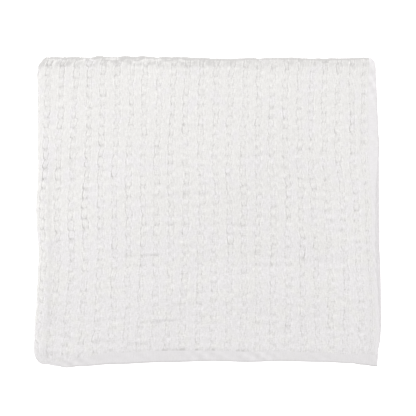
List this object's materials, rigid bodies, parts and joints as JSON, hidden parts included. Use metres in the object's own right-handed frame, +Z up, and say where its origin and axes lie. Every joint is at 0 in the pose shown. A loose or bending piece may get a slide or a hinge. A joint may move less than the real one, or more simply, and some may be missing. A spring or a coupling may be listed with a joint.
{
  "type": "folded quilt",
  "caption": "White crib quilt with straight rows of running stitches and bound edges, folded in thirds and then in half into a flat soft stack.",
  "frame": {"origin": "centre of the folded stack in plan, on the surface that it lies on", "axes": "+X towards the bound sides, with the half fold at -X; +Y towards the folded edge of the top layer, with its bound hem at -Y; +Z up"},
  "size_m": [0.4644, 0.4146, 0.0292],
  "materials": {
    "quilted_cotton": "matt washed cotton, puckered along its stitch rows",
    "binding_cotton": "matt plain-weave cotton strip, smooth"
  },
  "bodies": {
    "root": {"quilt_body": "quilted_cotton", "hem_binding_outer": "binding_cotton", "hem_binding_inner": "binding_cotton", "side_binding_upper": "binding_cotton", "side_binding_lower": "binding_cotton"}
  },
  "joints": []
}
